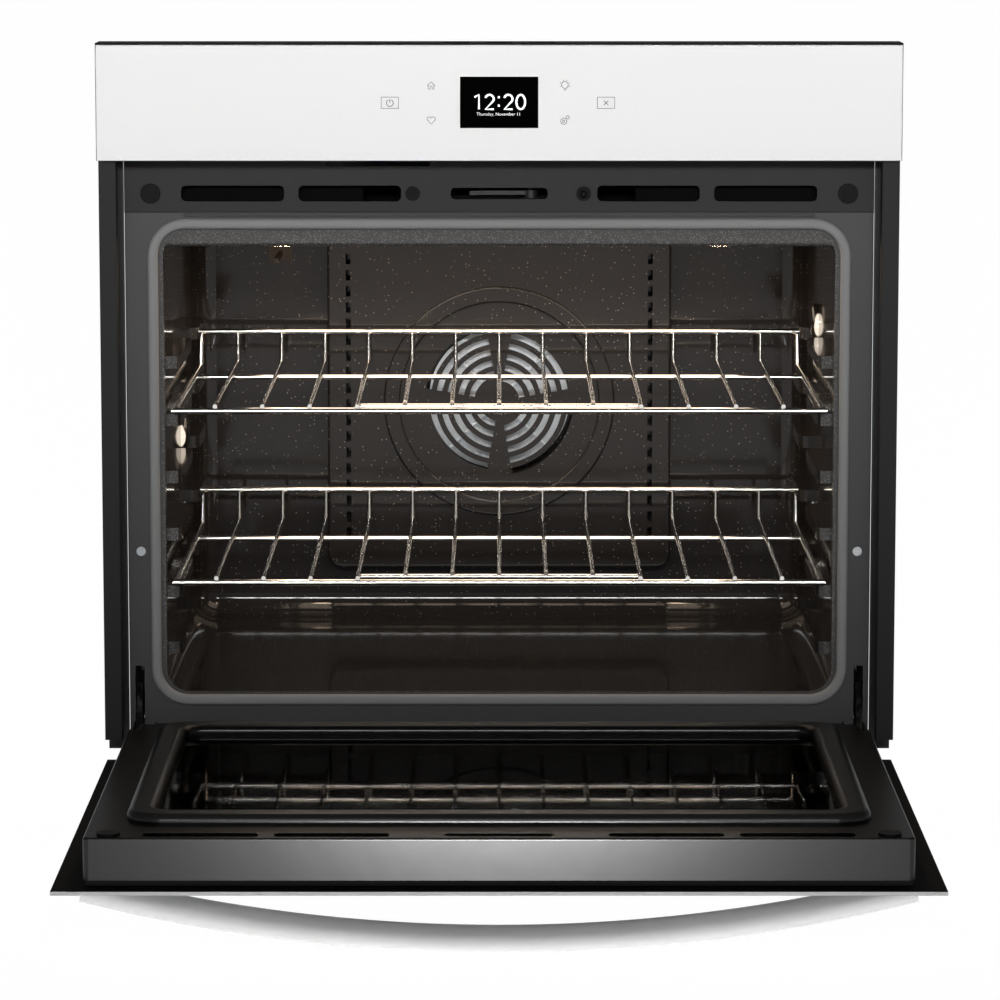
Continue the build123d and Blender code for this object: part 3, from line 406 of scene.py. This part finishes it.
# %% Phosphated hinges
RUB = 8 * MM
phosphate, tree, shader, place = start("phosphated_steel", "#333333", roughness=0.42,
                                       metallic=1.0)
rub = add(tree, "ShaderNodeTexNoise", {"Vector": place["Object"], "Scale": 1 / RUB, "Detail": 4.0})
worn = add(tree, "ShaderNodeMapRange", {"Value": rub.outputs["Fac"], "From Min": 0.5,
                                        "From Max": 0.75})
metal = add(tree, "ShaderNodeMix", {"Factor": worn.outputs["Result"], A: srgb("#262626"),
                                    B: srgb("#6A6A68")}, data_type="RGBA")
tree.links.new(metal.outputs[MIXED], shader.inputs["Base Color"])
paint(phosphate, "hinge_arms", "hinge_channels", "hinge_pins", "hinge_cartridges")

# %% [markdown]
# ## Heater sheaths and the probe
# The heaters and the probe are nickel-alloy tubes, oxidised dark by heat. The oxide is thicker in
# some places than in others, so a noise 30 mm across moves its colour between two browns.

# %% Oxidised sheaths
OXIDE_PATCH = 30 * MM
sheath, tree, shader, place = start("oxidised_nickel_alloy", "#3A3430", roughness=0.45,
                                    metallic=1.0)
heat = add(tree, "ShaderNodeTexNoise", {"Vector": place["Object"], "Scale": 1 / OXIDE_PATCH})
oxide = add(tree, "ShaderNodeMix", {"Factor": heat.outputs["Fac"], A: srgb("#262322"),
                                    B: srgb("#3E3935")}, data_type="RGBA")
tree.links.new(oxide.outputs[MIXED], shader.inputs["Base Color"])
paint(sheath, "convection_element", "broil_element", "bake_element", "temp_probe")

# %% [markdown]
# ## Fan wheels
# The two fan wheels are pressed from aluminium sheet, bare and slightly streaked by rolling. A
# noise that is squeezed ten to one across the streaks gives them.

# %% Rolled aluminium
STREAK = 10 * MM
alloy, tree, shader, place = start("rolled_aluminium", "#B4B6B8", roughness=0.32, metallic=1.0)
rolled = add(tree, "ShaderNodeMapping", {"Vector": place["Object"], "Scale": (1, 1, 10)})
streak = add(tree, "ShaderNodeTexNoise", {"Vector": rolled.outputs["Vector"], "Scale": 1 / STREAK})
grey = add(tree, "ShaderNodeMix", {"Factor": streak.outputs["Fac"], A: srgb("#A6A8AA"),
                                   B: srgb("#C0C2C4")}, data_type="RGBA")
tree.links.new(grey.outputs[MIXED], shader.inputs["Base Color"])
paint(alloy, "convection_fan", "blower_wheel")

# %% [markdown]
# ## Insulation and the control board
# Mineral wool is a mat of fine fibres: noise that is squeezed four to one across them. This
# blanket is coloured near black as painted shade, so that the vent slots in front of it look
# black. The board is glass-epoxy with a green solder mask, over copper tracks that show as paler
# lines. The joints of a brick pattern, 4 mm apart along a row and 2 mm from row to row, stand for
# the tracks.

# %% Mineral wool
FIBRE = 6 * MM
# near black as painted shade, so the vent slots in front of the wool look dark
wool, tree, shader, place = start("mineral_wool_in_painted_shade", "#060606", roughness=0.95,
                                  Specular_IOR_Level=0.1)
laid = add(tree, "ShaderNodeMapping", {"Vector": place["Object"], "Scale": (1, 4, 4)})
fibre = add(tree, "ShaderNodeTexNoise", {"Vector": laid.outputs["Vector"], "Scale": 1 / FIBRE,
                                         "Detail": 5.0})
mat = add(tree, "ShaderNodeMix", {"Factor": fibre.outputs["Fac"], A: srgb("#040404"),
                                  B: srgb("#0A0A09")}, data_type="RGBA")
bump = add(tree, "ShaderNodeBump", {"Strength": 0.5, "Distance": 2 * MM,
                                    "Height": fibre.outputs["Fac"]})
tree.links.new(mat.outputs[MIXED], shader.inputs["Base Color"])
tree.links.new(bump.outputs["Normal"], shader.inputs["Normal"])
paint(wool, "insulation_wrap", "insulation_floor", "insulation_back")

# %% Control board
TRACK_REPEAT = 8 * MM  # two bricks along, four rows up
board, tree, shader, place = start("green_glass_epoxy", "#1E5A32", roughness=0.35, IOR=1.55)
upright = add(tree, "ShaderNodeMapping", {"Vector": place["Object"],
                                          "Rotation": (radians(90), 0, 0)})
tracks = add(tree, "ShaderNodeTexBrick", {"Vector": upright.outputs["Vector"],
                                          "Scale": 1 / TRACK_REPEAT,
                                          "Color1": srgb("#1E5A32"), "Color2": srgb("#1A5230"),
                                          "Mortar": srgb("#3C8050"), "Mortar Size": 0.04})
tree.links.new(tracks.outputs["Color"], shader.inputs["Base Color"])
paint(board, "control_board")

# %% [markdown]
# ## Window panes
# The inner and middle panes are tempered glass with a grey body and a coating against glare, so
# their mirror is weaker than plain glass has: a low IOR gives that. The inside of the door is
# dark, so the window looks black and shows the cavity faintly at a low angle. A thin film of haze
# from cleaning is a slow change of roughness.

# %% Grey panes
HAZE_PATCH = 80 * MM
pane, tree, shader, place = start("tempered_window_glass", "#3A403C", roughness=0.02, IOR=1.07,
                                  Transmission_Weight=1.0)
haze = add(tree, "ShaderNodeTexNoise", {"Vector": place["Object"], "Scale": 1 / HAZE_PATCH})
film = add(tree, "ShaderNodeMapRange", {"Value": haze.outputs["Fac"], "To Min": 0.0,
                                        "To Max": 0.05})
tree.links.new(film.outputs["Result"], shader.inputs["Roughness"])
paint(pane, "door_inner_pane", "door_middle_pane")

# %% [markdown]
# ## Lamp lenses
# Each lamp has a thick pressed-glass lens with a warm bulb behind it. The bulb shows in the
# lens's front rim as a bright half moon 25 mm high, which the glossy wall doubles, and the glass
# around it is dark. A bulb seen through real thick glass would be noisy, so the glass itself
# glows there: where the front of the rim meets the wall, in an oval that is higher than it is
# wide. The edge of the glow fades over 2 mm, uneven where the ribs are.

# %% Where the lenses glow
LENS_RADIUS = 20 * MM
OVAL = Vector((2.6, 1, 1))  # a step sideways counts 2.6 times
low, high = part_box("lamp_lenses")
left_rim = Vector((low.x, low.y, low.z + LENS_RADIUS))
right_rim = Vector((high.x, low.y, high.z - LENS_RADIUS))
print("lenses glow at", [round(v, 3) for v in left_rim], "and", [round(v, 3) for v in right_rim])

# %% Lamp glass
GLOW_CORE, GLOW_EDGE = 12 * MM, 14 * MM
RIB = 9 * MM
RIB_DEPTH = 3 * MM  # how far a rib moves the edge
lamp_glass, tree, shader, place = start("lit_pressed_glass", "#15120F", roughness=0.12, IOR=1.5,
                                        Emission_Strength=1.05)
squeezed = add(tree, "ShaderNodeVectorMath", {0: place["Object"], 1: OVAL}, operation="MULTIPLY")
away = [add(tree, "ShaderNodeVectorMath", {0: squeezed.outputs["Vector"], 1: OVAL * rim},
            operation="DISTANCE") for rim in (left_rim, right_rim)]
nearest = add(tree, "ShaderNodeMath", {0: away[0].outputs["Value"], 1: away[1].outputs["Value"]},
              operation="MINIMUM")
ribs = add(tree, "ShaderNodeTexVoronoi", {"Vector": place["Object"], "Scale": 1 / RIB})
uneven = add(tree, "ShaderNodeMath", {0: ribs.outputs["Distance"], 1: RIB_DEPTH,
                                      2: nearest.outputs["Value"]}, operation="MULTIPLY_ADD")
fade = add(tree, "ShaderNodeMapRange", {"Value": uneven.outputs["Value"], "From Min": GLOW_EDGE,
                                        "From Max": GLOW_CORE})
glow = add(tree, "ShaderNodeMix", {"Factor": fade.outputs["Result"], A: (0, 0, 0, 1),
                                   B: srgb("#FFEEDA")}, data_type="RGBA")
tree.links.new(glow.outputs[MIXED], shader.inputs["Emission Color"])
paint(lamp_glass, "lamp_lenses")

# %% [markdown]
# ## Printed marks
# The touch keys are screen-printed on the glass in thin grey line: power and cancel in boxes, and
# four small pictures around the display. Each mark is a curve with a flat bevel thinner than
# paper, laid just in front of the glass. Drawing with curves keeps the line width the same all
# round, as a pen or a print screen does. The display's lit pixels are a grid 0.4 mm apart; only
# their even glow shows from here.

# %% Ink
INK_GRAIN = 0.6 * MM
ink, tree, shader, place = start("grey_screen_ink", "#5E5E5E", roughness=0.6)
screen = add(tree, "ShaderNodeTexNoise", {"Vector": place["Object"], "Scale": 1 / INK_GRAIN})
density = add(tree, "ShaderNodeMix", {"Factor": screen.outputs["Fac"], A: srgb("#565656"),
                                      B: srgb("#666666")}, data_type="RGBA")
tree.links.new(density.outputs[MIXED], shader.inputs["Base Color"])
print("made", ink.name)

# %% Display light
PIXEL = 0.4 * MM
pixels, tree, shader, place = start("lit_display_pixels", "#F4F6F8", roughness=0.5,
                                    Emission_Strength=0.9)
grid = add(tree, "ShaderNodeTexChecker", {"Vector": place["Object"], "Scale": 1 / PIXEL,
                                          "Color1": srgb("#FFFFFF"), "Color2": srgb("#EEF2F6")})
tree.links.new(grid.outputs["Color"], shader.inputs["Emission Color"])
print("made", pixels.name)

# %% Line drawing on the fascia
THIN_LINE, BOX_LINE = 0.55, 0.7  # in mm, as all sizes of the marks are
FLATTENED = 0.2  # a line's depth as a share of its width
INK_LIFT, PIXEL_LIFT = 0.15 * MM, 0.1 * MM  # of a line's middle off the glass
glass_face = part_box("control_glass")[0].y - INK_LIFT
display_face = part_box("display_window")[0].y - PIXEL_LIFT
print("marks lie at y", round(glass_face, 5), "and", round(display_face, 5))


def draw(name, centre, strokes, width=THIN_LINE, material=ink, face=glass_face):
    """A printed mark: strokes of points about its centre, closed if they end as they began."""
    curve = bpy.data.curves.new(name, "CURVE")
    curve.dimensions = "3D"
    curve.bevel_depth = width / 2 * MM
    curve.bevel_resolution = 0
    for stroke in strokes:
        closed = stroke[0] == stroke[-1]
        points = stroke[:-1] if closed else stroke
        spline = curve.splines.new("POLY")
        spline.points.add(len(points) - 1)
        spline.use_cyclic_u = closed
        for point, (x, z) in zip(spline.points, points):
            point.co = ((centre[0] + x) * MM, (centre[1] + z) * MM, 0, 1)
    mark = bpy.data.objects.new(name, curve)
    bpy.context.collection.objects.link(mark)
    mark.rotation_euler = (pi / 2, 0, 0)
    mark.location = (0, face, 0)
    mark.scale = (1, 1, FLATTENED)
    curve.materials.append(material)
    bpy.context.view_layer.update()
    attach(mark, "chassis")
    print("drew", name)


# %% Strokes
def polar(x, z, radius, angle):
    """A point at an angle in degrees round a middle."""
    return x + radius * cos(radians(angle)), z + radius * sin(radians(angle))


def arc(x, z, radius, first, last, steps=20):
    """Points on an arc."""
    return [polar(x, z, radius, first + (last - first) * i / steps) for i in range(steps + 1)]


def ring(x, z, radius):
    """A closed circle."""
    points = arc(x, z, radius, 0, 360)
    return points[:-1] + points[:1]


key_box = [(-8.1, -5.3), (8.1, -5.3), (8.1, 5.3), (-8.1, 5.3), (-8.1, -5.3)]
print("boxed keys are", 2 * key_box[1][0], "by", 2 * key_box[2][1], "mm")

# %% Keys in boxes
KEY_ROW = 654.6
power = [key_box, arc(0, -0.2, 3.2, 118, 422), [(0, 0.2), (0, 3.4)]]
draw("power_mark", (-102.2, KEY_ROW), power, BOX_LINE)
cross = [key_box, [(-2, -2), (2, 2)], [(-2, 2), (2, -2)]]
draw("cancel_mark", (100, KEY_ROW), cross, BOX_LINE)

# %% Small pictures
LEFT, RIGHT = -63.6, 61.5
UPPER, LOWER = 671, 638.4
roof = [(-3.6, -0.4), (0, 3.4), (3.6, -0.4)]
walls = [(-2.7, 0.4), (-2.7, -3.6), (-1, -3.6), (-1, -1), (1, -1), (1, -3.6), (2.7, -3.6),
         (2.7, 0.4)]
draw("home_mark", (LEFT, UPPER), [roof, walls])
heart = arc(1.85, 1.1, 1.95, -30, 162, 12) + arc(-1.85, 1.1, 1.95, 18, 210, 12) + [(0, -3.6)]
draw("heart_mark", (LEFT, LOWER), [heart + heart[:1]])
beams = [[polar(0, 0.4, 4.1, angle), polar(0, 0.4, 5, angle)] for angle in range(-20, 201, 44)]
bulb = arc(0, 0.4, 3.1, -60, 240) + [(-0.9, -3.3), (0.9, -3.3)]
draw("lamp_mark", (RIGHT, UPPER), [bulb + bulb[:1], [(-0.8, -4.3), (0.8, -4.3)]] + beams)
TEETH, TIP, VALLEY = 8, 3.1, 2.5
steps = 4 * TEETH
reach = [VALLEY if i // 2 % 2 else TIP for i in range(steps)]
gear = [polar(-1.1, -1.1, radius, 360 * i / steps) for i, radius in enumerate(reach)]
draw("settings_mark", (RIGHT, LOWER), [gear + gear[:1], ring(-1.1, -1.1, 1.1),
                                      ring(2.6, 2.6, 1.5)])

# %% [markdown]
# ## Clock on the display
# The display shows the time of day in thin, even strokes, which no font at hand has. So its
# figures are drawn like the marks, each 13.5 mm high along the middle of its line. The date below
# is plain text, sized by its width.

# %% Clock
FIGURE_LINE = 1.9
FIGURE_FOOT = -6.4  # from the display's middle
low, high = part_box("display_window")
display_x, _, display_z = (low + high) / 2 / MM
two = arc(4.4, 9.6, 3.9, 165, -35) + [(0.6, 0), (8.4, 0)]
figures = [
    [(-23, 11.3), (-18.9, 13.5), (-18.9, 0)],  # one
    [(x - 13.4, z) for x, z in two],
    [(-0.3, 2.4), (-0.3, 4.4)],  # the colon's two dots
    [(-0.3, 10.2), (-0.3, 12.2)],
    [(x + 4.2, z) for x, z in two],
    [(20.2 + 4.1 * x, 6.75 + 6.75 * z) for x, z in ring(0, 0, 1)],  # nought
]
draw("clock_figures", (display_x, display_z + FIGURE_FOOT), figures, FIGURE_LINE, pixels,
     display_face)

# %% Date
DATE_FOOT = -12.3  # from the display's middle
DATE_SHIFT = -0.5
DATE_WIDTH = 40.6
text = bpy.data.curves.new("clock_date", "FONT")
text.body = "Thursday, November 11"
text.align_x = "CENTER"
text.offset = -0.05 * MM  # makes the letters thinner
text.size = 10 * MM  # a first size, to be scaled
text.materials.append(pixels)
date = bpy.data.objects.new("clock_date", text)
bpy.context.collection.objects.link(date)
date.rotation_euler = (pi / 2, 0, 0)
date.location = ((display_x + DATE_SHIFT) * MM, display_face, (display_z + DATE_FOOT) * MM)
bpy.context.view_layer.update()
text.size *= DATE_WIDTH * MM / date.dimensions.x
bpy.context.view_layer.update()
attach(date, "chassis")
print(date.name, [round(d / MM, 1) for d in date.dimensions], "mm")

# %% [markdown]
# ## Studio
# The floor is a plain pale sheet just under the lowest point of the handle, wide enough to fill
# the picture. A white background comes from the floor's own colour as it is seen: a share of
# plain white is mixed in for rays from the camera, a mirror or a pane only. So no extra light
# falls on the oven, and its shadow stays on the floor.

# %% Floor
FLOOR_SIZE, FLOOR_MIDDLE = 90, 20  # metres; most of the sheet lies behind the oven
FLOOR_GAP = 2 * MM
WHITE_SHARE = 0.94
lowest = cad_box[0].z
bpy.ops.mesh.primitive_plane_add(size=FLOOR_SIZE, location=(0, FLOOR_MIDDLE, lowest - FLOOR_GAP))
floor = bpy.context.object
floor.name = "floor"
sheet = bpy.data.materials.new("pale_floor")
sheet.use_nodes = True
tree = sheet.node_tree
tree.nodes.clear()
rays = add(tree, "ShaderNodeLightPath").outputs
seen = add(tree, "ShaderNodeMath", {0: rays["Is Camera Ray"], 1: rays["Is Glossy Ray"]},
           operation="MAXIMUM")
shown = add(tree, "ShaderNodeMath", {0: seen.outputs["Value"], 1: rays["Is Transmission Ray"]},
            operation="MAXIMUM")
share = add(tree, "ShaderNodeMath", {0: shown.outputs["Value"], 1: WHITE_SHARE},
            operation="MULTIPLY")
pale = add(tree, "ShaderNodeBsdfDiffuse", {"Color": srgb("#F2F2F2")})
bright = add(tree, "ShaderNodeEmission", {"Color": srgb("#FFFFFF"), "Strength": 1.05})
blend = add(tree, "ShaderNodeMixShader", {0: share.outputs["Value"], 1: pale.outputs["BSDF"],
                                          2: bright.outputs["Emission"]})
add(tree, "ShaderNodeOutputMaterial", {"Surface": blend.outputs["Shader"]})
floor.data.materials.append(sheet)
print("floor at z", round(floor.location.z, 4))

# %% [markdown]
# ## Room
# The room is white at the walls and dark overhead, so that what faces up stays dark and what
# faces the front mirrors something pale. Light falls off with the height of a ray's direction,
# and the camera itself sees plain white.

# %% Room
WALLS, OVERHEAD = 0.42, 0.08
DARK_FROM = 0.5  # the z of a direction above which the room is darkest
world = bpy.data.worlds.new("white_room")
bpy.context.scene.world = world
world.use_nodes = True
tree = world.node_tree
tree.nodes.clear()
rays = add(tree, "ShaderNodeLightPath").outputs
ways = add(tree, "ShaderNodeTexCoord").outputs
height = add(tree, "ShaderNodeSeparateXYZ", {"Vector": ways["Generated"]})
falloff = add(tree, "ShaderNodeMapRange", {"Value": height.outputs["Z"], "From Max": DARK_FROM,
                                           "To Min": WALLS, "To Max": OVERHEAD})
strength = add(tree, "ShaderNodeMath", {0: falloff.outputs["Result"], 1: rays["Is Camera Ray"]},
               operation="MAXIMUM")
room = add(tree, "ShaderNodeBackground", {"Color": srgb("#FFFFFF"),
                                          "Strength": strength.outputs["Value"]})
add(tree, "ShaderNodeOutputWorld", {"Surface": room.outputs["Background"]})
print(world.name, "gives", WALLS, "at the walls and", OVERHEAD, "overhead")

# %% [markdown]
# ## Key light
# A wide soft box above the camera lights the front. A grid keeps its beam within 15 degrees of
# straight ahead, off the floor and the open door, so what faces up stays dark. Light linking
# keeps it off the bare metal on top, which would mirror it to someone behind the oven.


# %% Key light
def soft_box(name, place, aim, width, height, watts, colour="#FFFFFF"):
    """A rectangular area light aimed at a point."""
    light = bpy.data.lights.new(name, "AREA")
    light.shape = "RECTANGLE"
    light.size = width
    light.size_y = height
    light.energy = watts
    light.color = srgb(colour)[:3]
    lamp = bpy.data.objects.new(name, light)
    bpy.context.collection.objects.link(lamp)
    lamp.location = place
    lamp.rotation_euler = (Vector(aim) - Vector(place)).to_track_quat("-Z", "Y").to_euler()
    print(name, watts, "W")
    return lamp


key = soft_box("key_light", place=(0.0, -3.2, 1.25), aim=(0, 0, 0.62), width=2.4, height=0.3,
               watts=5.4)
key.data.spread = radians(30)
flagged = bpy.data.collections.new("not_lit_by_key_light")
flagged.objects.link(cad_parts["top_panel"])
flagged.collection_objects[0].light_linking.link_state = "EXCLUDE"
key.light_linking.receiver_collection = flagged

# %% [markdown]
# ## Lamps for single pieces
# A small strip low in front of the door grades its satin front wall from dark at the ends to pale
# in the middle. A white card there lights the handle and the edge of the door glass; it has no
# mirror image, which would show in the closed door. A lamp under the floor, as if the floor were
# milk glass, lights the handle's lower side. Light linking keeps these three off the rest.

# %% Lamps for single pieces
LAMP_RISE = 45 * MM  # of the two low lamps above the oven's lowest point
handle_pieces = ["handle_bar", "handle_mounts"]
ahead = (0.0, -1.65, lowest + LAMP_RISE)
level = (0, 0, ahead[2])
strip = soft_box("low_strip", ahead, level, width=0.3, height=0.06, watts=40)
card = soft_box("front_card", ahead, level, width=1.2, height=0.06, watts=3.6)
card.visible_glossy = False
below = soft_box("floor_lamp", place=(0.0, -0.79, -0.7), aim=(0, -0.57, -20 * MM), width=1.2,
                 height=0.3, watts=11)
for lamp, names in ((strip, ["door_liner"]), (card, [*handle_pieces, "door_glass"]),
                    (below, handle_pieces)):
    linked = bpy.data.collections.new("lit_by_" + lamp.name)
    for name in names:
        linked.objects.link(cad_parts[name])
    lamp.light_linking.receiver_collection = linked
    lamp.light_linking.blocker_collection = linked
    print(lamp.name, "lights", ", ".join(names))

# %% [markdown]
# ## The oven's own light
# The glow of the lenses is too weak to light the cavity without noise. So two small bulbs and a
# warm panel under the cavity's ceiling stand for the oven's own light.

# %% The oven's own light
BULB_X, BULB_Y, BULB_Z = 0.21, 0.07, 0.505
for side, x in (("left", -BULB_X), ("right", BULB_X)):
    filament = bpy.data.lights.new("cavity_lamp_" + side, "POINT")
    filament.energy = 0.5
    filament.shadow_soft_size = 0.01
    filament.color = srgb("#FFE0C0")[:3]
    lamp = bpy.data.objects.new("cavity_lamp_" + side, filament)
    bpy.context.collection.objects.link(lamp)
    lamp.location = (x, BULB_Y, BULB_Z)
    print(lamp.name, filament.energy, "W")
soft_box("cavity_glow", place=(0.0, 0.22, 0.516), aim=(0, 0.221, 0), width=0.5, height=0.3,
         watts=2.2, colour="#FFE8D0")

# %% [markdown]
# ## Camera
# The photograph's viewpoint was found by matching known points on the oven: straight ahead, well
# back, and above the oven's top, looking slightly down with a long lens.

# %% Camera
LOOKS_DOWN = 8.01  # degrees
camera_data = bpy.data.cameras.new("camera")
camera_data.sensor_width = 36
camera_data.lens = 164.1
camera_data.clip_end = 200
camera = bpy.data.objects.new("camera", camera_data)
bpy.context.collection.objects.link(camera)
camera.location = (0.8 * MM, -4.327, 0.8808)
camera.rotation_euler = (radians(90 - LOOKS_DOWN), 0, 0)
bpy.context.scene.camera = camera
bpy.context.scene.view_settings.view_transform = "Standard"
print("camera", [round(c, 3) for c in camera.location])
